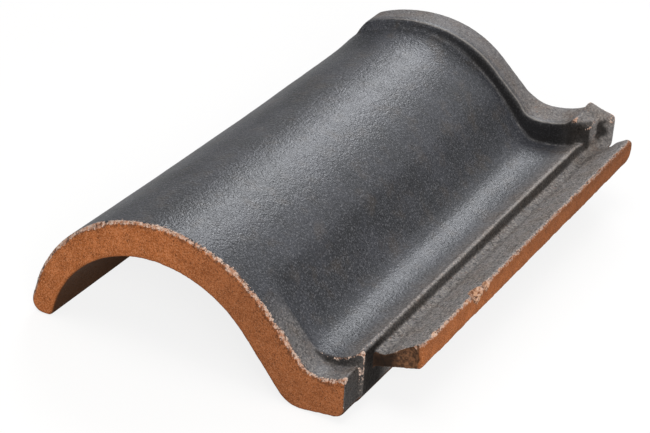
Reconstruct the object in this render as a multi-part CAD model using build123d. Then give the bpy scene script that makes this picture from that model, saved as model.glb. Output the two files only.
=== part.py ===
from build123d import *
from math import cos, radians, sin, sqrt, tan
import os

# A clay roof tile of the single-roll interlocking kind, pressed and fired in one piece.
# It lies as it rests on a level floor: X across the tile, Y from tail to head, Z up.
# Sizes across the section are measured from the axis of the roll, heights from the floor.

# Length of the tile, and where the features along it begin and end
tile_length = 338.0
tongue_length = 16.7
ledge_start = 28.0
ledge_end_gap = 9.0
lip_depth = 21.0
block_depth = 18.0
block_wall_depth = 6.0

# Roll. Its right flank draws in towards the head, where the next tile slips over it
crown_height = 85.7
roll_half_width = 93.3
crown_thickness = 23.6
foot_thickness = 15.0
hollow_shift = 3.7
foot_outer_round = 7.5
foot_inner_round = 3.5
flank_draw = 5.8

# Neck between the roll and the trough, as angles from the level
neck_angle = 48.5
neck_under_angle = 50.5

# Trough. Its floor climbs a little towards the head, its side wall keeps its height
trough_floor = 29.3
trough_floor_climb = 4.2
trough_radius = 16.0
trough_side_width = 22.6
trough_side_rise = 12.7
trough_under_radius = 17.0
trough_under_tilt = 8.5
trough_under_round = 9.0
step_round = 1.6

# Tongue at the tail of the trough, rebated on top and set in from the side wall
rebate_depth = 3.8
tongue_side_rise = 5.5
tongue_inset = 0.5
tail_round = 1.0

# Side ledge with its groove, the ramp beside it and the outer rim
ledge_width = 30.5
ledge_root = 4.0
groove_depth = 7.5
groove_width = 7.0
groove_round = 2.5
rim_rise = 16.0
rim_width = 4.0
rim_fall = 2.2
rim_inner_round = 4.0
rim_outer_round = 1.4
edge_height = 17.2
edge_under_tilt = 16.5
edge_under_round = 4.0
nose_bevel = 5.0
nose_round = 7.0

# Raised lip across the head
lip_crown_rise = 10.2
lip_flank_draw = 3.9
lip_neck_angle = 43.0
lip_trough_radius = 20.0
lip_floor_rise = 17.0
lip_side_rise = 20.0
lip_left_reach = 45.0
lip_left_slope = 68.0
lip_end_round = 8.0
lip_round = 2.5
lip_root = 4.0

# Corner block where the lip meets the ledge, with a thin wall behind it across the groove
block_inset = 10.0
block_back_inset = 6.5
block_reach = 1.5
block_back_reach = 7.5
block_wall_reach = 11.8
block_rise = 14.0
block_fall = 17.5
block_climb = 19.5
block_round = 1.5
block_root = 4.0


def at(x, z, y):
    """A point of the section that stands at a distance y from the tail."""
    return Vector(x, y, z)


def on_circle(centre, radius, angle):
    """The point of a circle at an angle in degrees, clockwise from its top."""
    return (centre[0] + radius * sin(radians(angle)), centre[1] + radius * cos(radians(angle)))


def arc(start, middle, end, y):
    return ThreePointArc(at(*start, y), at(*middle, y), at(*end, y))


def line(start, end, y):
    return Line(at(*start, y), at(*end, y))


def polygon(points, y):
    return make_face(Polyline([at(*point, y) for point in points], close=True))


def rounded(face, corners, y):
    """Round the corners of a section, each given with its radius."""
    for corner, radius in corners:
        face = fillet(face.vertices().sort_by_distance(at(*corner, y))[0], radius)
    return face


def looks_up(face):
    """Whether a face's normal rises at all, beyond the error of its arithmetic."""
    arithmetic_error = 1e-6
    return face.normal_at().Z > arithmetic_error


def along(near, far, y, start=0.0):
    """A size that changes evenly from near, at start, to far at the head."""
    return near + (far - near) * (y - start) / (tile_length - start)


def arch_radius(half_width, height):
    """The radius of an arch whose crown stands at a height over a foot at a half width."""
    return (half_width**2 + height**2) / (2 * height)


def trough_low_x(crown, flank_radius, angle, radius, floor):
    """Where the trough is lowest, beyond a neck that leaves the roll at an angle."""
    neck_top = on_circle((0.0, crown - flank_radius), flank_radius, angle)
    neck_foot_z = floor + radius * (1 - cos(radians(angle)))
    neck_run = (neck_top[1] - neck_foot_z) / tan(radians(angle))
    return neck_top[0] + neck_run + radius * sin(radians(angle))


# Places that follow from the sizes above
roll_radius = arch_radius(roll_half_width, crown_height)
hollow_height = crown_height - crown_thickness
hollow_radius = arch_radius(roll_half_width - foot_thickness - hollow_shift, hollow_height)
tail_trough_x = trough_low_x(crown_height, roll_radius, neck_angle, trough_radius, trough_floor)
side_wall_x = tail_trough_x + trough_side_width
side_wall_top = trough_floor + trough_side_rise
head_floor = trough_floor + trough_floor_climb
groove_floor = side_wall_top - groove_depth
rim_height = groove_floor + rim_rise
edge_under = rim_height - edge_height
ledge_outer_x = side_wall_x + ledge_width
ledge_end = tile_length - ledge_end_gap
block_start = tile_length - block_depth


def section(y, crown, half_width, flank_radius, angle, radius, floor, side_top, wall_x):
    """Roll, neck and trough over the tile's plain underside, which is the same all along."""
    left_radius = arch_radius(half_width, crown)
    left_centre = (0.0, crown - left_radius)
    flank_centre = (0.0, crown - flank_radius)
    crown_top = (0.0, crown)
    foot_outer = (-half_width, 0.0)
    neck_top = on_circle(flank_centre, flank_radius, angle)
    trough_low = (trough_low_x(crown, flank_radius, angle, radius, floor), floor)
    trough_centre = (trough_low[0], floor + radius)
    neck_foot = on_circle(trough_centre, radius, 180 + angle)

    # The trough's floor climbs to the side wall in one arc
    wall_top = (wall_x, side_top)
    climb_width = wall_x - trough_low[0]
    climb_radius = arch_radius(climb_width, side_top - floor)
    climb_middle_z = floor + climb_radius - sqrt(climb_radius**2 - (climb_width / 2) ** 2)
    climb_middle = (trough_low[0] + climb_width / 2, climb_middle_z)

    # Underside: hollow of the roll, neck, then the trough's nearly flat bottom
    hollow_crown = (-hollow_shift, hollow_height)
    hollow_centre = (-hollow_shift, hollow_height - hollow_radius)
    foot_inner = (foot_thickness - roll_half_width, 0.0)
    under_neck_top = on_circle(hollow_centre, hollow_radius, neck_under_angle)
    under_neck_foot_z = trough_under_radius * (1 - cos(radians(neck_under_angle)))
    under_neck_run = (under_neck_top[1] - under_neck_foot_z) / tan(radians(neck_under_angle))
    under_neck_foot = (under_neck_top[0] + under_neck_run, under_neck_foot_z)
    under_low = (under_neck_foot[0] + trough_under_radius * sin(radians(neck_under_angle)), 0.0)
    under_centre = (under_low[0], trough_under_radius)
    under_flat = on_circle(under_centre, trough_under_radius, 180 - trough_under_tilt)
    under_corner_z = under_flat[1] + (wall_x - under_flat[0]) * tan(radians(trough_under_tilt))
    under_corner = (wall_x, under_corner_z)

    outline = [
        arc(foot_outer, on_circle(left_centre, left_radius, -neck_angle), crown_top, y),
        arc(crown_top, on_circle(flank_centre, flank_radius, angle / 2), neck_top, y),
        line(neck_top, neck_foot, y),
        arc(neck_foot, on_circle(trough_centre, radius, 180 + angle / 2), trough_low, y),
        arc(trough_low, climb_middle, wall_top, y),
        line(wall_top, under_corner, y),
        line(under_corner, under_flat, y),
        arc(under_flat, under_low, under_neck_foot, y),
        line(under_neck_foot, under_neck_top, y),
        arc(under_neck_top, hollow_crown, foot_inner, y),
        line(foot_inner, foot_outer, y),
    ]
    corners = [
        (foot_outer, foot_outer_round),
        (foot_inner, foot_inner_round),
        (under_corner, trough_under_round),
        (wall_top, step_round),
    ]
    return rounded(make_face(outline), corners, y)


def body_section(y):
    flank_radius = roll_radius - along(0.0, flank_draw, y) / tan(radians(neck_angle / 2))
    floor = along(trough_floor, head_floor, y)
    return section(
        y, crown_height, roll_half_width, flank_radius, neck_angle, trough_radius,
        floor, side_wall_top, side_wall_x,
    )


def tongue_section(y):
    flank_radius = roll_radius - along(0.0, flank_draw, y) / tan(radians(neck_angle / 2))
    floor = along(trough_floor, head_floor, y) - rebate_depth
    return section(
        y, crown_height, roll_half_width, flank_radius, neck_angle, trough_radius,
        floor, floor + tongue_side_rise, side_wall_x - tongue_inset,
    )


def ledge_section(y):
    """Groove beside the side wall, ramp, outer rim and sloping underside."""
    root_x = side_wall_x - ledge_root
    root_under = edge_under - (ledge_outer_x - root_x) * tan(radians(edge_under_tilt))
    under_outer = (ledge_outer_x, edge_under)
    rim_outer = (ledge_outer_x, rim_height)
    rim_inner = (ledge_outer_x - rim_width, rim_height - rim_fall)
    ramp_foot = (side_wall_x + groove_width, groove_floor)
    outline = [(root_x, root_under), under_outer, rim_outer, rim_inner, ramp_foot, (root_x, groove_floor)]
    corners = [
        (under_outer, edge_under_round),
        (rim_outer, rim_outer_round),
        (rim_inner, rim_inner_round),
        (ramp_foot, groove_round),
    ]
    return rounded(polygon(outline, y), corners, y)


def lip_section(y):
    """The raised section of the head, ended on the roll's left by a sloping cut."""
    crown = crown_height + lip_crown_rise
    half_width = roll_half_width + lip_crown_rise
    draw = flank_draw + lip_flank_draw
    flank_radius = arch_radius(half_width, crown) - draw / tan(radians(lip_neck_angle / 2))
    raised = section(
        y, crown, half_width, flank_radius, lip_neck_angle, lip_trough_radius,
        head_floor + lip_floor_rise, side_wall_top + lip_side_rise, side_wall_x,
    )
    top = crown + lip_crown_rise
    bottom = head_floor - lip_root
    left_top_x = -lip_left_reach + (top - crown_height) / tan(radians(lip_left_slope))
    left_bottom_x = -lip_left_reach - (crown_height - bottom) / tan(radians(lip_left_slope))
    right_x = side_wall_x - block_inset + block_root
    kept = [(left_bottom_x, bottom), (left_top_x, top), (right_x, top), (right_x, bottom)]
    return rounded(raised & polygon(kept, y), [((-lip_left_reach, crown_height), lip_end_round)], y)


def block_section(y, reach):
    """The corner block, its top falling to the right and climbing to the head."""
    inner_x = side_wall_x - along(block_inset, block_back_inset, y, block_start)
    outer_x = side_wall_x + reach
    base = groove_floor - block_root
    inner_top = side_wall_top + block_rise + (y - block_start) * tan(radians(block_climb))
    outer_top = inner_top - (outer_x - inner_x) * tan(radians(block_fall))
    return polygon([(inner_x, base), (inner_x, inner_top), (outer_x, outer_top), (outer_x, base)], y)


def corner_block(start, start_reach, end_reach):
    """A block from start to the head, rounded along the edges of its top."""
    block = loft([block_section(start, start_reach), block_section(tile_length, end_reach)])
    return fillet(block.faces().filter_by(looks_up).edges(), block_round)


# Tongue and body
tongue = loft([tongue_section(0.0), tongue_section(tongue_length)])
tongue = fillet(tongue.faces().sort_by(Axis.Y)[0].edges(), tail_round)
body = loft([body_section(tongue_length), body_section(tile_length)])

# Ledge, its far end a nose that is bevelled below and rounded
ledge = extrude(ledge_section(ledge_start), ledge_end - ledge_start, dir=(0, 1, 0))
nose_height = edge_under + nose_bevel
side_view = make_face(
    Polyline(
        (0, ledge_start, 0), (0, ledge_start, rim_height), (0, ledge_end, rim_height),
        (0, ledge_end, nose_height), (0, ledge_end - nose_height, 0), close=True,
    )
)
side_view = fillet(side_view.vertices().group_by(Axis.Y)[-1], nose_round)
ledge = ledge & extrude(side_view, ledge_outer_x, dir=(1, 0, 0))

# Lip, rounded along its front and back top edges
lip = extrude(lip_section(tile_length), lip_depth, dir=(0, -1, 0))
lip_tops = lip.faces().filter_by(looks_up)
lip = fillet(lip_tops.edges().filter_by(Axis.Y, reverse=True), lip_round)

# Corner block and the wall behind it, under which the ledge's inner part runs on to the head
block = corner_block(block_start, block_reach, block_back_reach)
block_wall = corner_block(tile_length - block_wall_depth, block_wall_reach, block_wall_reach)
foot_x = side_wall_x + block_wall_reach
under_wall = polygon([(0.0, 0.0), (0.0, rim_height), (foot_x, rim_height), (foot_x, 0.0)], tile_length)
block_foot = extrude(ledge_section(tile_length) & under_wall, block_depth, dir=(0, -1, 0))

tile = tongue + body + ledge + lip + block + block_wall + block_foot

# The tile's own origin: the middle of its box, on the floor
box = tile.bounding_box()
tile = tile.moved(Location((-box.center().X, -box.center().Y, -box.min.Z)))

os.makedirs("parts", exist_ok=True)
export_step(tile, "parts/roof_tile.step")
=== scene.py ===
from math import cos, radians, sin

import bmesh
import bpy
import numpy as np
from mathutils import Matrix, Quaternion, Vector


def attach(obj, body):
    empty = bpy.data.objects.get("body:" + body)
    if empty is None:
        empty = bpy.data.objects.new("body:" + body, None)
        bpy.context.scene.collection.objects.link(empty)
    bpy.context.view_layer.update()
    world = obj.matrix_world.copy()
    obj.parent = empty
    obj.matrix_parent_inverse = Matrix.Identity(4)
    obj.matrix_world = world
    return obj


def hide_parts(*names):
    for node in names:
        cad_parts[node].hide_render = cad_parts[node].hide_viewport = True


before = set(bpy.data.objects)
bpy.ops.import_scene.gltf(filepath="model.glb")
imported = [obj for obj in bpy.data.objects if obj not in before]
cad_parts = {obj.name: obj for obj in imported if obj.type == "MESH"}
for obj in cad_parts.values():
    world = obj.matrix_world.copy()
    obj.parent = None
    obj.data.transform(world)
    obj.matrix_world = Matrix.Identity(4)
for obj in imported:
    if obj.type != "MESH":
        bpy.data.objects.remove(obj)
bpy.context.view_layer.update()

# Tile
# One slab of red clay, pressed between two moulds, finished by hand, dipped in dark slip and
# fired; nothing is fixed to it. The solid's faces are shaped here in millimetres: side goes to
# the ledge's rim at 122, run from the tail at -169 to the head at 169, rise up from the floor.
millimetre = 0.001
weld_distance = 1e-6
clay_grid = 0.85
face_limit = 186000

# The solid's faces are welded and cut again into a fine even grid that can be shaped
tile_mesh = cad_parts["roof_tile"].data.copy()
welder = bmesh.new()
welder.from_mesh(tile_mesh)
bmesh.ops.remove_doubles(welder, verts=welder.verts, dist=weld_distance)
welder.to_mesh(tile_mesh)
welder.free()
tile = bpy.data.objects.new("clay_tile", tile_mesh)
bpy.context.scene.collection.objects.link(tile)


def apply_modifier(piece, kind, settings):
    """Give a piece the mesh that one modifier makes of it."""
    modifier = piece.modifiers.new(kind.lower(), kind)
    for name, value in settings.items():
        setattr(modifier, name, value)
    made = piece.evaluated_get(bpy.context.evaluated_depsgraph_get())
    new_mesh = bpy.data.meshes.new_from_object(made)
    piece.modifiers.clear()
    piece.data = new_mesh
    return new_mesh


even_grid = {"mode": "VOXEL", "voxel_size": clay_grid * millimetre}
tile_mesh = apply_modifier(tile, "REMESH", even_grid)

point_count = len(tile_mesh.vertices)
points = np.empty(point_count * 3)
tile_mesh.vertices.foreach_get("co", points)
points = points.reshape(-1, 3) / millimetre
edges = np.empty(len(tile_mesh.edges) * 2, int)
tile_mesh.edges.foreach_get("vertices", edges)
edges = edges.reshape(-1, 2)


def relaxed(values, passes, kept=None, loose=None):
    """Values at the points after moving halfway to their neighbours' mean, again and again.

    Only the kept points move, and where loose is below 1 a point holds back, or stays at 0.
    """
    chosen = np.arange(point_count) if kept is None else np.flatnonzero(kept)
    numbering = np.full(point_count, -1)
    numbering[chosen] = np.arange(len(chosen))
    pairs = numbering[edges]
    pairs = pairs[(pairs >= 0).all(axis=1)]
    ends = np.concatenate([pairs[:, 0], pairs[:, 1]])
    others = np.concatenate([pairs[:, 1], pairs[:, 0]])
    degree = np.maximum(np.bincount(ends, minlength=len(chosen)), 1)
    part = values.reshape(point_count, -1)[chosen]
    step = 0.5 if loose is None else 0.5 * loose[chosen][:, None]
    for _ in range(passes):
        sums = [np.bincount(ends, column[others], minlength=len(chosen)) for column in part.T]
        part = part + step * (np.stack(sums, axis=1) / degree[:, None] - part)
    result = values.reshape(point_count, -1).copy()
    result[chosen] = part
    return result.reshape(values.shape)


def normals_of(places):
    """Normals of the tile's surface with its points at these places."""
    tile_mesh.vertices.foreach_set("co", (places * millimetre).ravel())
    tile_mesh.update()
    directions = np.empty(point_count * 3)
    tile_mesh.vertex_normals.foreach_get("vector", directions)
    return directions.reshape(-1, 3)


def eased(value, low, high):
    """0 at low, 1 at high, with a smooth step between; low may be the larger."""
    share = np.clip((value - low) / (high - low), 0, 1)
    return share * share * (3 - 2 * share)


def within(values, low, high, fade):
    """1 between two limits, fading to 0 at them."""
    return eased(values, low, low + fade) * eased(values, high, high - fade)


grid_passes = 3
points = relaxed(points, grid_passes)
normals = normals_of(points)
side, run, rise = points.T

# The roll flares up to the lip at the head, most over its crown and the left of it
roll_axis_x = -30.07
roll_axis_z = -7.94
roll_radius = 93.64
lip_rise = 10.2
flare_height = 4.8
flare_start = 116
flare_length = 32
radial = points[:, [0, 2]] - (roll_axis_x, roll_axis_z)
reach = np.hypot(radial[:, 0], radial[:, 1])
turn = np.degrees(np.arctan2(radial[:, 0], radial[:, 1]))
flare = flare_height * np.clip((run - flare_start) / flare_length, 0, 1) ** 2
flare *= 1 - np.clip((reach - roll_radius) / lip_rise, 0, 1)
flare *= eased(reach, 84, 90) * eased(turn, 36, 2) * eased(turn, -46, -26)
points[:, [0, 2]] += radial * (flare / reach)[:, None]
normals = normals_of(points)
side, run, rise = points.T

# Inner corners at the head were run together with a finger over the crown and at the block
at_head = run > flare_start
lip_left_end = (run > 134) & (side < -44)
finger_share = np.maximum(eased(turn, 30, 10), eased(side, 86, 91)) * eased(run, 122, 130)
finger_pull = 1.2
finger_strokes = [
    (at_head, 34, finger_share),
    (lip_left_end, 60, eased(run, 138, 144)),
]
for kept, passes, share in finger_strokes:
    pulled = relaxed(points, passes, kept) - points
    inner_corner = eased(np.sum(pulled * normals, axis=1), 0.10, 0.75)
    inner_corner = relaxed(inner_corner * share, 6, at_head)
    points += pulled * np.clip(finger_pull * inner_corner, 0, 1)[:, None] * kept[:, None]
    normals = normals_of(points)

# Over the trough the lip's top falls to the front, and the block beside it leans out a little
side, run, rise = points.T
lip_front_fall = 2.7
lip_back_climb = 1.7
falling = eased(run, 166, 150) * eased(run, 146.5, 147.6) * within(side, 42, 84, 8)
climbing = eased(run, 155, 168) * within(side, 40, 112, 8) * eased(rise, 44, 50)
points[:, 2] += lip_back_climb * climbing - lip_front_fall * falling * eased(rise, 37, 48)
block_lean = 1.9
leaning = within(side, 96, 112, 6) * eased(run, 149, 151) * eased(rise, 33, 38)
points[:, 0] += block_lean * leaning

# The groove's wall and the side of the tongue were trimmed a little further in
groove_widening = 1.1
groove_wall = within(side, 83, 96, 4) * eased(rise, 35, 39) * within(run, -151, 147, 3)
points[:, 0] -= groove_widening * groove_wall
tongue_inset = 1.3
tongue_side = eased(side, 84, 91) * eased(run, -151.6, -152.8) * eased(rise, 2, 16)
points[:, 0] -= tongue_inset * tongue_side
normals = normals_of(points)

# The trough is swept with a wide tool, and the ledge's ramp runs softly out of its groove
side, run, rise = points.T
looks_up = normals[:, 2] > 0.2
sweep_at_head = 2.2
sweep_more_at_tail = 1.8
swept_in = sweep_at_head + sweep_more_at_tail * eased(run, 60, -120)
swept_in = swept_in * within(side, 26, 78, 18) * within(run, -151, 148, 5) * looks_up
points[:, 0] -= swept_in
sweep_passes = 260
swept = looks_up & (side > 26) & (side < 84) & (run > -151) & (run < 147)
swept_share = within(side, 28, 82, 12) * within(run, -150, 146, 8)
points = relaxed(points, sweep_passes, swept, swept_share)
ramp_passes = 120
ramp = looks_up & (side > 96) & (side < 120) & (run > -140) & (run < 159)
ramp_share = within(side, 97, 119, 4) * within(run, -139.5, 157, 6)
points += (relaxed(points, ramp_passes, ramp) - points) * (ramp_share * ramp)[:, None]
normals = normals_of(points)

# The roll sagged between its two ends as the tile dried
tile_length = 338
sag_depth = 2.6
length_share = np.clip((points[:, 1] + tile_length / 2) / tile_length, 0, 1)
roll_share = eased(points[:, 2], 8, 86) * eased(points[:, 0], 40, -10)
points[:, 2] -= sag_depth * np.sin(np.pi * length_share) * roll_share
normals = normals_of(points)

# Arrises are where the clay stands out sharply; those of the block are rubbed round
side, run, rise = points.T
arris_passes = 9
arris_limits = (0.06, 0.42)


def sharpness():
    """How far each point stands out of the clay around it, or in from it where negative."""
    return np.sum((points - relaxed(points, arris_passes)) * normals, axis=1)


block_passes = 7
block_rubbing = 0.7
block_share = eased(side, 70, 78) * eased(run, 140, 148)
rubbed_round = relaxed(points, block_passes, at_head) - points
points += rubbed_round * (block_rubbing * block_share * eased(sharpness(), 0.05, 0.4))[:, None]
normals = normals_of(points)
outward = sharpness()
arris = eased(outward, *arris_limits)
inward = eased(-outward, 0.08, 0.4)


def lumps(places, size, seed):
    """Smooth random lumps of one size, from 0 to 1, such as kneaded clay has."""
    table_side = 32
    table = np.random.default_rng(seed).random((table_side,) * 3)
    cell = np.floor(places / size).astype(int)
    share = places / size - cell
    share = share * share * (3 - 2 * share)
    total = np.zeros(len(places))
    for corner in np.ndindex(2, 2, 2):
        weight = np.prod(np.where(np.array(corner) == 1, share, 1 - share), axis=1)
        row, column, layer = ((cell + np.array(corner)) % table_side).T
        total += weight * table[row, column, layer]
    return total


def crumbs(places, size, seed):
    """Lumps of three sizes added up, for torn and crumbled clay."""
    coarse = lumps(places, size, seed)
    middle = lumps(places, size / 2.1, seed + 1)
    fine = lumps(places, size / 4.3, seed + 2)
    return (4 * coarse + 2 * middle + fine) / 7


def along_normal(amount):
    """A move by so much out of the surface."""
    return normals * amount[:, None]


# They are worn and crumbled, most of all along the rim of the ledge and the tail
roughly = crumbs(points, size=5.0, seed=11)
finely = crumbs(points, size=2.4, seed=21)
wear_least = 0.10
wear_in_crumbs = 0.12
wear_facing_up = 0.28
wear_at_rim = 0.75
rim_share = eased(side, 112, 119) * eased(rise, 44, 48)
tail_share = eased(run, -160, -166) * eased(normals[:, 2], -0.1, 0.3)
worn_most = np.maximum(rim_share, 0.7 * tail_share)
crumbled = eased(roughly, 0.50, 0.72) + 0.5 * eased(finely, 0.50, 0.70)
rubbed_most = eased(normals[:, 2], -0.1, 0.25)
wear_depth = wear_in_crumbs + wear_facing_up * rubbed_most + wear_at_rim * worn_most
points -= along_normal(arris * (wear_least + wear_depth * crumbled))


def oval_gap(centre, halves):
    """How far each point lies from a centre, where 1 is the oval with these half axes."""
    across, along, up = ((points - centre) / halves).T
    return np.sqrt(across ** 2 + along ** 2 + up ** 2)


# Bites out of the rim of the ledge: where along it, how long, how far in and down
rim_x = 122.3
rim_z = 50.5
bite_reach = 1.7
bite_depth = 0.62
rim_bites = [
    (-73.0, 7.5, 4.0, 4.8),
    (-62.0, 4.5, 2.2, 4.0),
    (-86.0, 4.0, 1.9, 1.6),
    (-126.0, 3.5, 1.6, 1.4),
    (-112.0, 3.0, 1.2, 1.2),
    (-98.0, 2.5, 1.2, 1.0),
    (-44.0, 3.5, 1.3, 1.2),
    (-22.0, 3.0, 1.2, 1.1),
    (14.0, 4.0, 1.4, 1.2),
    (39.0, 2.5, 1.1, 1.0),
    (61.0, 3.0, 1.3, 1.1),
    (88.0, 3.0, 1.2, 1.1),
    (108.0, 3.5, 1.4, 1.2),
    (131.0, 3.0, 1.3, 1.2),
]
bitten = np.zeros(point_count)
for bite_y, bite_length, bite_in, bite_down in rim_bites:
    bite_halves = (bite_reach * bite_in, bite_length, bite_reach * bite_down)
    gap = oval_gap((rim_x, bite_y, rim_z), bite_halves) + 0.9 * (roughly - 0.5)
    bite = eased(gap, 1.0, 0.3) * (0.75 + 0.5 * finely)
    points[:, 0] -= bite_depth * bite_in * bite
    points[:, 2] -= bite_depth * bite_down * bite
    bitten = np.maximum(bitten, eased(gap, 1.2, 0.9))
bite_roughness = 2.2
bite_crumbs = crumbs(points, size=2.2, seed=61)
points += along_normal(bitten * bite_roughness * (bite_crumbs - 0.5))

# The near end of the ledge has an oval torn place, where clay stuck in the mould
side, run, rise = points.T
tear_x = 113.3
tear_z = 39.4
tear_half_width = 7.2
tear_half_height = 6.2
tear_least = 0.5
tear_crumbs = 2.6
ledge_end = eased(normals[:, 1], -0.35, -0.75) * eased(side, 91.0, 92.5)
ledge_end = ledge_end * within(run, -144, -136, 2)
tear_gap = np.hypot((side - tear_x) / tear_half_width, (rise - tear_z) / tear_half_height)
tear_gap = tear_gap + 0.5 * (finely - 0.5)
torn = eased(tear_gap, 1.05, 0.75) * ledge_end
points[:, 1] += torn * (tear_least + tear_crumbs * crumbs(points, size=3.4, seed=31))

# The block's front corner is knocked off, and a ragged hole is left where its side meets the
# wall behind it
knock_centre = (93.3, 151, 56)
knock_halves = (5.4, 5.0, 5.0)
knock_move = (-0.9, 1.1, -2.8)
knock_gap = oval_gap(knock_centre, knock_halves)
knocked = eased(knock_gap + 0.8 * (roughly - 0.5), 1.1, 0.3)
points += knocked[:, None] * knock_move
hole_centre = (98, 162, 47)
hole_halves = (3.0, 3.2, 8.4)
hole_least = 0.5
hole_crumbs = 2.2
hole_gap = oval_gap(hole_centre, hole_halves) + 2.4 * (finely - 0.5)
hole = eased(hole_gap, 1.05, 0.75)
points -= along_normal(hole * (hole_least + hole_crumbs * (finely - 0.3)))
normals = normals_of(points)

# A slow unevenness of the whole skin, and a rough dry skin on the ledge, lip and block
side, run, rise = points.T
dry_tongue = 0.5 * eased(run, -150, -153) * eased(side, 30, 50)
dry_side = np.maximum(eased(side, 72, 92), dry_tongue)
dry_head = eased(run, 149, 155) * eased(rise, 34, 46)
dry_coat = np.maximum(dry_side, dry_head * (0.6 + 0.25 * eased(side, 30, 60)))
skin_height = 0.42
ledge_roughness = 0.55
head_roughness = 0.15
skin = skin_height * (crumbs(points, size=26.0, seed=51) - 0.5)
rough_skin = ledge_roughness * eased(side, 92, 97) * (1 - 0.7 * eased(run, 144, 150))
rough_skin = rough_skin + head_roughness * dry_head
skin += rough_skin * (crumbs(points, size=4.2, seed=71) - 0.5)
points += along_normal(skin * eased(rise, 0.5, 4.0))
points[:, 2] = np.maximum(points[:, 2], 0)
normals = normals_of(points)

# Where the dark slip coat is missing: cut tail, outer side of the ledge, bites, underside, back
side, run, rise = points.T
cut_tail = eased(normals[:, 1], -0.5, -0.85) * eased(run, -164.5, -166.5)
smeared = within(reach, roll_radius - 3.6, roll_radius + 2, 2) * within(turn, -88, -14, 16)
cut_tail = cut_tail * (1 - 0.55 * smeared)
cut_side = eased(normals[:, 0], 0.45, 0.8) * eased(side, 117.5, 119.5)
in_hollow = -np.sum(normals[:, [0, 2]] * radial, axis=1) / reach
in_hollow = eased(in_hollow, 0.2, 0.5) * eased(reach, 90, 86) * eased(side, 50, 40)
under = np.maximum(eased(normals[:, 2], -0.05, -0.35), in_hollow)
under = under * (1 - eased(normals[:, 1], -0.5, -0.85)) * (1 - cut_side)
back = eased(normals[:, 1], 0.5, 0.85) * eased(run, 164.0, 166.0)
bare_places = [cut_tail, cut_side, 0.8 * bitten, under, back, 0.9 * ledge_end]
bare_clay = np.maximum.reduce(bare_places)

# Painted shade, darker colour where shade falls: fronts of the lip and the block, walls of the
# tongue and of the notch beside it, its riser, the groove and the ramp, the ledge's end, the
# hole
lip_front = eased(normals[:, 1], -0.42, -0.66) * eased(run, 138, 144) * eased(turn, -8, 30)
lip_front = lip_front * eased(side, 96, 94)
block_front = eased(normals[:, 1], -0.12, -0.4) * within(side, 80, 95, 1)
block_front = block_front * within(run, 143, 154, 1) * eased(rise, 56, 52)
riser = eased(normals[:, 1], -0.2, -0.6) * within(run, -155, -150, 1) * eased(side, 34, 46)
before_block = eased(run, 147, 144)
side_wall = eased(normals[:, 0], 0.5, 0.8) * within(side, 87, 95, 1)
side_wall = side_wall * np.maximum(eased(rise, 44, 40), before_block)
tongue_wall = side_wall * eased(run, -151.5, -152.5)
notch_wall = side_wall * eased(run, -152, -150)
notch_wall = notch_wall * np.maximum(0.78 * eased(rise, 34, 36), eased(run, -110, -134))
ramp_painted_shade = within(side, 92, 102.5, 2) * eased(normals[:, 2], 0.2, 0.5) * before_block
groove_painted_shade = within(side, 88, 93.6, 1.4) * eased(rise, 38, 36.5)
groove_painted_shade = groove_painted_shade * eased(normals[:, 2], 0.1, 0.4) * before_block
dark_end = ledge_end * eased(side, 111, 102)
in_hole = eased(hole_gap, 1.0, 0.7)
painted_shade_layers = [
    (0.3, ramp_painted_shade),
    (0.85, groove_painted_shade),
    (0.76, lip_front),
    (0.9, block_front),
    (0.8, tongue_wall),
    (1.0, notch_wall),
    (1.0, dark_end),
    (0.75, riser),
    (0.88, in_hole),
]
painted_shade = np.maximum.reduce([strength * layer for strength, layer in painted_shade_layers])

# Where the coat has lost its gloss, where torn clay is browner, and where bare clay is browner
# and darker
dull_layers = [
    (0.55, eased(turn, -11, -23) * eased(side, 20, 0)),
    (0.4, within(side, 92, 102, 3)),
    (0.45, dry_head * eased(turn, 30, 10)),
]
dull = np.maximum.reduce([strength * layer for strength, layer in dull_layers])
torn_tone = np.maximum(torn, 0.75 * ledge_end * eased(side, 120.6, 118.4))
# Painted shade: tail face darker to the right, ledge's outer side darker to the head and top
tail_painted_shade = 0.36 * cut_tail * eased(side, -40, 20)
ledge_side_painted_shade = cut_side * (0.4 * eased(run, -110, 140) + 0.25 * eased(rise, 41, 48))
dusky_rim = 0.45 * eased(side, 115.5, 118.5) * (1 - cut_side)
dusky_and_painted_shade = tail_painted_shade + ledge_side_painted_shade + dusky_rim

# How much the arrises are worn: bare ones not at all, and those that face up most
arris = eased(sharpness(), *arris_limits)
arris = np.maximum(arris, 0.8 * relaxed(arris, 6))
faces_up = eased(normals[:, 2], -0.1, 0.25)
tail_wear = eased(run, -162, -166) * faces_up
tongue_wear = within(run, -156, -148, 1.5) * eased(side, 36, 46) * faces_up
ledge_wear = within(run, -145, -137, 1.5) * eased(side, 102, 109) * faces_up
rim_wear = eased(side, 115, 118) * faces_up
notch_wear = 0.75 * within(run, -154.5, -150, 1) * side_wall * eased(rise, 2, 26)
block_wear = 0.9 * eased(run, 144, 149) * eased(side, 78, 84) * faces_up
step_wear = 0.5 * within(side, 86, 95, 2) * faces_up
elsewhere_wear = 0.25 * (1 - within(side, 94, 117, 1))
wear = [tail_wear, tongue_wear, ledge_wear, rim_wear, notch_wear, block_wear, step_wear]
wear = np.maximum(np.maximum.reduce(wear), elsewhere_wear)
wear = wear * eased(relaxed(1 - bare_clay, 8), 0.04, 0.2)
rim_band = eased(side, 118.8, 121.2) * eased(normals[:, 2], 0.1, 0.4)
rim_band = rim_band * within(run, -141, 156, 2)
tail_line = np.clip(1.7 * relaxed(arris, 4), 0, 1) * tail_wear * wear
worn_places = [
    np.maximum(arris, notch_wear) * wear,
    0.5 * rim_band,
    tail_line,
    0.6 * knocked * faces_up,
]
worn_arris = np.maximum.reduce(worn_places)
scorched = relaxed(arris * tail_wear, 12) * cut_tail
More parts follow.
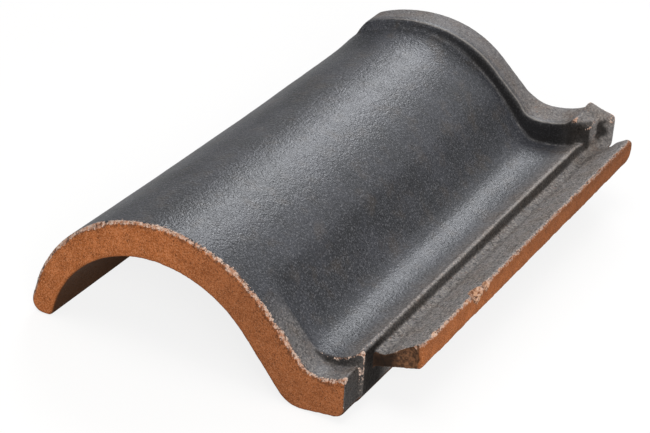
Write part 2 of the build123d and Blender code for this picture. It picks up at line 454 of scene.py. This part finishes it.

# Painted highlights: fine pale lines where the lip's top and the step's top turn over to their
# fronts
on_lip = within(run, 146.4, 153, 0.8) * eased(side, 92, 84) * faces_up * eased(turn, -30, 0)
on_step = within(side, 86, 93, 1.5) * eased(rise, 38.5, 40) * before_block * faces_up
painted_highlight = within(-normals[:, 1], 0.12, 0.56, 0.14) * on_lip
step_painted_highlight = within(normals[:, 0], 0.10, 0.74, 0.16) * on_step
painted_highlight_lines = np.maximum(painted_highlight, step_painted_highlight)

# The masks are kept on the mesh for the finish, each softened by so many passes
finish_masks = {
    "bare_clay": (bare_clay, 1),
    "dry_coat": (dry_coat, 2),
    "flecked": (dry_side * eased(run, 150, 144), 2),
    "painted_shade": (painted_shade, 2),
    "arris": (worn_arris, 2),
    "scorched": (scorched, 1),
    "painted_highlight": (painted_highlight_lines, 1),
    "bitten": (bitten, 1),
    # Painted shade in concave creases
    "corner": (inward, 2),
    "torn": (torn_tone, 1),
    "dusky_and_painted_shade": (dusky_and_painted_shade, 2),
    "dull": (dull, 2),
    "under": (under, 2),
}
for mask_name, (mask, soft_passes) in finish_masks.items():
    stored = tile_mesh.attributes.new(mask_name, "FLOAT", "POINT")
    stored.data.foreach_set("value", relaxed(mask, soft_passes).astype(np.float32))

# Fewer faces where the surface is plain, and the fine grid kept along the arrises
triangle_count = 2 * len(tile_mesh.polygons)
tile_mesh = apply_modifier(tile, "DECIMATE", {"ratio": face_limit / triangle_count})
tile_mesh.name = "clay_tile"
tile_mesh.shade_smooth()


class Finish:
    """A socket of a material. Sums and products of it add the nodes that work them out."""

    def __init__(self, tree, socket=None):
        self.tree = tree
        self.socket = socket

    def node(self, kind, settings, sockets, output=0):
        """Any node: its type, its settings, and the values or links of its sockets."""
        made = self.tree.nodes.new(kind)
        for name, value in settings.items():
            setattr(made, name, value)
        for name, value in sockets.items():
            if isinstance(value, Finish):
                self.tree.links.new(value.socket, made.inputs[name])
            else:
                made.inputs[name].default_value = value
        return Finish(self.tree, made.outputs[output])

    def maths(self, operation, first, second):
        return self.node("ShaderNodeMath", {"operation": operation}, {0: first, 1: second})

    def __add__(self, other):
        return self.maths("ADD", self, other)

    def __sub__(self, other):
        return self.maths("SUBTRACT", self, other)

    def __rsub__(self, other):
        return self.maths("SUBTRACT", other, self)

    def __mul__(self, other):
        return self.maths("MULTIPLY", self, other)

    __radd__ = __add__
    __rmul__ = __mul__

    def over(self, other):
        """The larger of two."""
        return self.maths("MAXIMUM", self, other)

    def step(self, low, high):
        """0 at low, 1 at high, with a smooth step between; low may be the larger."""
        settings = {"interpolation_type": "SMOOTHSTEP"}
        if low < high:
            return self.node("ShaderNodeMapRange", settings, {0: self, 1: low, 2: high})
        return 1 - self.step(high, low)

    def tint(self, without, with_all):
        """A colour that turns from one to the other as this goes from 0 to 1."""
        first_colour = 6
        second_colour = 7
        mixed_colour = 2
        colours = {0: self, first_colour: without, second_colour: with_all}
        return self.node("ShaderNodeMix", {"data_type": "RGBA"}, colours, mixed_colour)

    def mask(self, name):
        """A mask that was stored on the mesh."""
        single_value = 2
        return self.node("ShaderNodeAttribute", {"attribute_name": name}, {}, single_value)

    def noise(self, place, size, detail=2.0, rough=0.5):
        """Cloudy noise whose clouds are about so many millimetres across."""
        sockets = {"Vector": place, "Scale": 1 / (size * millimetre), "Detail": detail}
        sockets["Roughness"] = rough
        return self.node("ShaderNodeTexNoise", {}, sockets)

    def specks(self, place, spacing):
        """Distance to scattered points about so many millimetres apart, as a share of that."""
        sockets = {"Vector": place, "Scale": 1 / (spacing * millimetre)}
        return self.node("ShaderNodeTexVoronoi", {}, sockets)


def rgb(red, green, blue):
    """A colour as a screen shows it, from 0 to 255, in the linear terms of a shader."""
    shares = [channel / 255 for channel in (red, green, blue)]
    linear = [((s + 0.055) / 1.055) ** 2.4 if s > 0.04045 else s / 12.92 for s in shares]
    return (*linear, 1.0)


def new_finish(name):
    """A material with an empty node tree, and that tree's output."""
    material = bpy.data.materials.new(name)
    material.use_nodes = True
    material.node_tree.nodes.clear()
    output = material.node_tree.nodes.new("ShaderNodeOutputMaterial")
    return material, Finish(material.node_tree), output


# Finish of the tile
# A satin coat of dark grey slip over red clay. It is thin and dry on the ledge, lip and block,
# worn along the arrises, and missing where the clay was cut, chipped or lay on its setter.
fired_clay, clay, clay_output = new_finish("fired_clay")
place = clay.node("ShaderNodeTexCoord", {}, {}, "Object")

bare_mask = clay.mask("bare_clay")
arris_mask = clay.mask("arris")
crease_shade_mask = clay.mask("corner")
torn_mask = clay.mask("torn")
dusky_and_shade_mask = clay.mask("dusky_and_painted_shade")
dull_mask = clay.mask("dull")
under_mask = clay.mask("under")
scorched_mask = clay.mask("scorched")
painted_highlight_mask = clay.mask("painted_highlight")
bitten_mask = clay.mask("bitten")
dry_mask = clay.mask("dry_coat")
flecked_mask = clay.mask("flecked")
painted_shade_mask = clay.mask("painted_shade")

# Slip coat
slip_dark = rgb(49, 51, 55)
slip_grey = rgb(62, 64, 70)
slip_brown = rgb(84, 75, 66)
slip_light_speck = rgb(120, 121, 126)
slip_dark_speck = rgb(28, 28, 31)
cloudy = clay.noise(place, size=38.0, detail=3.0, rough=0.55)
patchy = clay.noise(place, size=14.0, detail=3.0, rough=0.6)
mottle = clay.noise(place, size=3.4, detail=2.0, rough=0.6)
grain = clay.noise(place, size=1.7, detail=2.0, rough=0.6)
fine_grain = clay.noise(place, size=1.0, detail=1.0, rough=0.5)
slip = (cloudy * 0.7 + mottle * 0.3).step(0.38, 0.62).tint(slip_dark, slip_grey)
slip = (patchy.step(0.50, 0.72) * 0.32).tint(slip, slip_brown)
slip = (fine_grain.step(0.50, 0.72) * 0.55).tint(slip, slip_light_speck)
slip = (grain.step(0.47, 0.28) * 0.6).tint(slip, slip_dark_speck)

# Thin dry coat, flecked with the clay under it, then painted highlight lines and painted shade
dry_grey = rgb(126, 123, 123)
dry_brown = rgb(118, 106, 97)
dry_light_fleck = rgb(172, 165, 159)
dry_dark_fleck = rgb(58, 54, 52)
dry_clay_fleck = rgb(150, 108, 82)
highlight_grey = rgb(158, 153, 149)
painted_shade_black = rgb(19, 16, 14)
fleck = clay.noise(place, size=2.4, detail=3.0, rough=0.65)
dry = (patchy.step(0.42, 0.66) * 0.6).tint(dry_grey, dry_brown)
dry = (fine_grain.step(0.49, 0.62) * (0.42 + flecked_mask * 0.4)).tint(dry, dry_light_fleck)
dry = (grain.step(0.50, 0.36) * (0.38 + flecked_mask * 0.4)).tint(dry, dry_dark_fleck)
dry = (fleck.step(0.60, 0.70) * 0.35).tint(dry, dry_clay_fleck)
slip = (dry_mask * (0.6 + mottle * 0.7)).tint(slip, dry)
painted_shade_amount = (crease_shade_mask * 0.5).over(painted_shade_mask * (0.72 + grain * 0.5))
# Painted highlight lines along the lip's and the step's top arrises
slip = (painted_highlight_mask * (0.45 + grain * 0.6)).tint(slip, highlight_grey)
# Painted shade: dark in creases and recesses, and on the walls and fronts that lie in shade
slip = painted_shade_amount.tint(slip, painted_shade_black)

# Bare clay, with sand and pits in it
clay_orange = rgb(187, 112, 64)
clay_brown = rgb(164, 95, 50)
clay_pale = rgb(206, 146, 106)
clay_dark = rgb(92, 52, 32)
clay_dusky_and_shaded = rgb(100, 66, 47)
clay_scorched = rgb(58, 40, 32)
streaky = clay.noise(place, size=9.0, detail=5.0, rough=0.65)
bare = streaky.step(0.36, 0.66).tint(clay_brown, clay_orange)
sandy = clay.noise(place, size=0.75, detail=1.0, rough=0.6)
bare = (sandy.step(0.50, 0.68) * 0.5).tint(bare, clay_pale)
bare = (sandy.step(0.48, 0.30) * 0.65).tint(bare, clay_dark)
pits = clay.specks(place, 1.5).step(0.27, 0.13) * clay.noise(place, 5.0).step(0.40, 0.60)
bare = (pits * 0.65).tint(bare, clay_scorched)
# Painted shade on the tail face and the ledge's outer side, and a darker rim
bare = dusky_and_shade_mask.tint(bare, clay_dusky_and_shaded)
scorching = scorched_mask.step(0.04, 0.22) * grain.step(0.58, 0.44) * 0.55
bare = scorching.tint(bare, clay_scorched)

# Chips, the torn ledge end, and painted shade in the chips, on the underside and on bare clay
chip_brown = rgb(112, 72, 48)
chip_pale = rgb(196, 154, 126)
chip_hollow_shade = rgb(74, 48, 34)
under_shade_brown = rgb(58, 36, 18)
torn_dark = rgb(70, 50, 37)
torn_brown = rgb(122, 86, 62)
clay_in_painted_shade = rgb(33, 25, 20)
chipped = fleck.step(0.40, 0.56).tint(chip_brown, chip_pale)
# Painted shade in the hollows of the chips and in creases
chipped = (crease_shade_mask.over(grain.step(0.42, 0.32)) * 0.8).tint(chipped, chip_hollow_shade)
bare = bitten_mask.step(0.3, 0.7).tint(bare, chipped)
# Painted shade: the underside and the hollow under the roll are coloured dark brown
bare = (under_mask * 0.95).tint(bare, under_shade_brown)
torn_clay = fleck.step(0.36, 0.62).tint(torn_dark, torn_brown)
bare = torn_mask.step(0.15, 0.6).tint(bare, torn_clay)
# Painted shade on the bare clay of the ledge's end and the other places in shade
bare = (painted_shade_mask * 0.92).tint(bare, clay_in_painted_shade)

# Worn arrises show pale rubbed clay, broken up by the coat that is left
rubbed_brown = rgb(182, 134, 107)
rubbed_pale = rgb(212, 188, 173)
rubbed_dark = rgb(66, 48, 40)
ragged = clay.noise(place, size=2.0, detail=3.0, rough=0.65)
broken = (ragged - 0.5) * 0.65 + (fine_grain - 0.5) * 0.8
worn = (arris_mask + broken).step(0.36, 0.58)
worn = worn * (1 - under_mask)
rubbed = ragged.step(0.42, 0.60).tint(rubbed_brown, rubbed_pale)
rubbed = (grain.step(0.47, 0.36) * 0.8).tint(rubbed, rubbed_dark)

coat_gone = (bare_mask + (ragged - 0.5) * 0.6).step(0.40, 0.60)
surface = coat_gone.tint(slip, bare)
surface = (worn * (0.88 - dusky_and_shade_mask * 0.7)).tint(surface, rubbed)

# Satin where the coat is whole, matt where clay, painted shade or a dull coat shows
bump_strength = 0.8
bump_height = 0.45 * millimetre
coat_ior = 1.42
clay_roughness = 0.9
clay_specular = 0.15
gloss_variation = clay.noise(place, size=9.0, detail=3.0, rough=0.6)
slip_roughness = 0.25 + gloss_variation * 0.15 + grain * 0.06 + dry_mask * 0.22
relief = grain * 0.7 + fine_grain * 0.5 + mottle * (0.5 + dry_mask * 0.9)
relief = relief - pits * coat_gone * 1.2
bump_sockets = {"Strength": bump_strength, "Distance": bump_height, "Height": relief}
shaded = clay.node("ShaderNodeBump", {}, bump_sockets)
satin_coat = {"Base Color": surface, "Normal": shaded}
satin_coat.update({"Roughness": slip_roughness, "IOR": coat_ior})
coat_shader = clay.node("ShaderNodeBsdfPrincipled", {}, satin_coat)
matt_clay = {"Base Color": surface, "Normal": shaded}
matt_clay.update({"Roughness": clay_roughness, "Specular IOR Level": clay_specular})
clay_shader = clay.node("ShaderNodeBsdfPrincipled", {}, matt_clay)
matt = coat_gone.over(worn).over(painted_shade_mask).over(dull_mask).over(dry_mask * 0.3)
fired = clay.node("ShaderNodeMixShader", {}, {0: matt, 1: coat_shader, 2: clay_shader})
clay.tree.links.new(fired.socket, clay_output.inputs["Surface"])
tile_mesh.materials.clear()
tile_mesh.materials.append(fired_clay)

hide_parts("roof_tile")
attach(tile, "root")

# Floor and surroundings
# A plain white sheet under the tile, which keeps its shadow, in a dim room.
# Seen straight or in a reflection the sheet is white; the light it throws back is softer.
floor_half = 6.0
floor_height = -0.0001
corners = [(-1, -1), (1, -1), (1, 1), (-1, 1)]
floor_points = [(floor_half * x, floor_half * y, floor_height) for x, y in corners]
floor_mesh = bpy.data.meshes.new("floor")
floor_mesh.from_pydata(floor_points, [], [(0, 1, 2, 3)])
floor = bpy.data.objects.new("floor", floor_mesh)
bpy.context.scene.collection.objects.link(floor)

pure_white = (1.0, 1.0, 1.0, 1.0)
soft_grey = (0.6, 0.6, 0.6, 1.0)
white_share = 0.82
white_sheet, sheet, sheet_output = new_finish("white_sheet")
ray_outputs = ("Is Camera Ray", "Is Glossy Ray", "Is Transmission Ray")
rays = [sheet.node("ShaderNodeLightPath", {}, {}, name) for name in ray_outputs]
seen = rays[0].over(rays[1]).over(rays[2])
thrown_back = sheet.node("ShaderNodeBsdfDiffuse", {}, {"Color": soft_grey})
shadowed = sheet.node("ShaderNodeBsdfDiffuse", {}, {"Color": pure_white})
white = sheet.node("ShaderNodeEmission", {}, {"Color": pure_white, "Strength": 1.0})
shown = sheet.node("ShaderNodeMixShader", {}, {0: white_share, 1: shadowed, 2: white})
lifted = sheet.node("ShaderNodeMixShader", {}, {0: seen, 1: thrown_back, 2: shown})
sheet.tree.links.new(lifted.socket, sheet_output.inputs["Surface"])
floor_mesh.materials.append(white_sheet)

room_colour = (1.0, 0.97, 0.94, 1.0)
room_strength = 0.25
room = bpy.data.worlds.new("dim_room")
bpy.context.scene.world = room
room.use_nodes = True
room_shader = room.node_tree.nodes["Background"]
room_shader.inputs["Color"].default_value = room_colour
room_shader.inputs["Strength"].default_value = room_strength

# Lamps
# Studio softboxes: one behind and above the head, which draws the two long highlights on the
# satin coat, a wide dim panel around it, a fill in front to the right, and a soft one overhead.


def softbox(name, place, aim, width, height, watts, colour):
    """A rectangular lamp at a place, turned to face a point."""
    lamp = bpy.data.lights.new(name, "AREA")
    lamp.shape = "RECTANGLE"
    lamp.size = width
    lamp.size_y = height
    lamp.energy = watts
    lamp.color = colour
    box = bpy.data.objects.new(name, lamp)
    box.location = place
    box.rotation_mode = "QUATERNION"
    box.rotation_quaternion = (Vector(aim) - Vector(place)).to_track_quat("-Z", "Y")
    bpy.context.scene.collection.objects.link(box)


cool_white = (0.93, 0.955, 1.0)
warm_white = (1.0, 0.98, 0.95)
softbox("back_softbox", (-1.25, 3.2, 2.5), (0, 0, 0.05), 1.2, 2.0, 55.0, cool_white)
softbox("back_panel", (0.4, 3.4, 2.5), (0, 0, 0.05), 4.2, 2.0, 28.0, cool_white)
softbox("front_fill", (1.2, -1.6, 1.1), (0, 0, 0.04), 1.2, 1.0, 31.0, warm_white)
softbox("top_fill", (0.2, -0.3, 2.2), (0, 0, 0.04), 1.4, 1.4, 20.0, warm_white)

# Camera
# A long lens, a step to the right of the tail and a little above, as the tile was shown.
view_azimuth = radians(28.208)
view_elevation = radians(29.452)
view_roll = radians(3.303)
view_distance = 1.2249
view_aim = Vector((-0.00106, -0.03335, 0.040))
lens_length = 110.769
sensor_width = 36.0
backward = Vector(
    (
        sin(view_azimuth) * cos(view_elevation),
        -cos(view_azimuth) * cos(view_elevation),
        sin(view_elevation),
    )
)
lens = bpy.data.cameras.new("camera")
lens.lens = lens_length
lens.sensor_width = sensor_width
camera = bpy.data.objects.new("camera", lens)
camera.location = view_aim + backward * view_distance
camera.rotation_mode = "QUATERNION"
level_view = (-backward).to_track_quat("-Z", "Y")
camera.rotation_quaternion = level_view @ Quaternion((0, 0, 1), view_roll)
bpy.context.scene.collection.objects.link(camera)
bpy.context.scene.camera = camera
bpy.context.scene.view_settings.view_transform = "Standard"
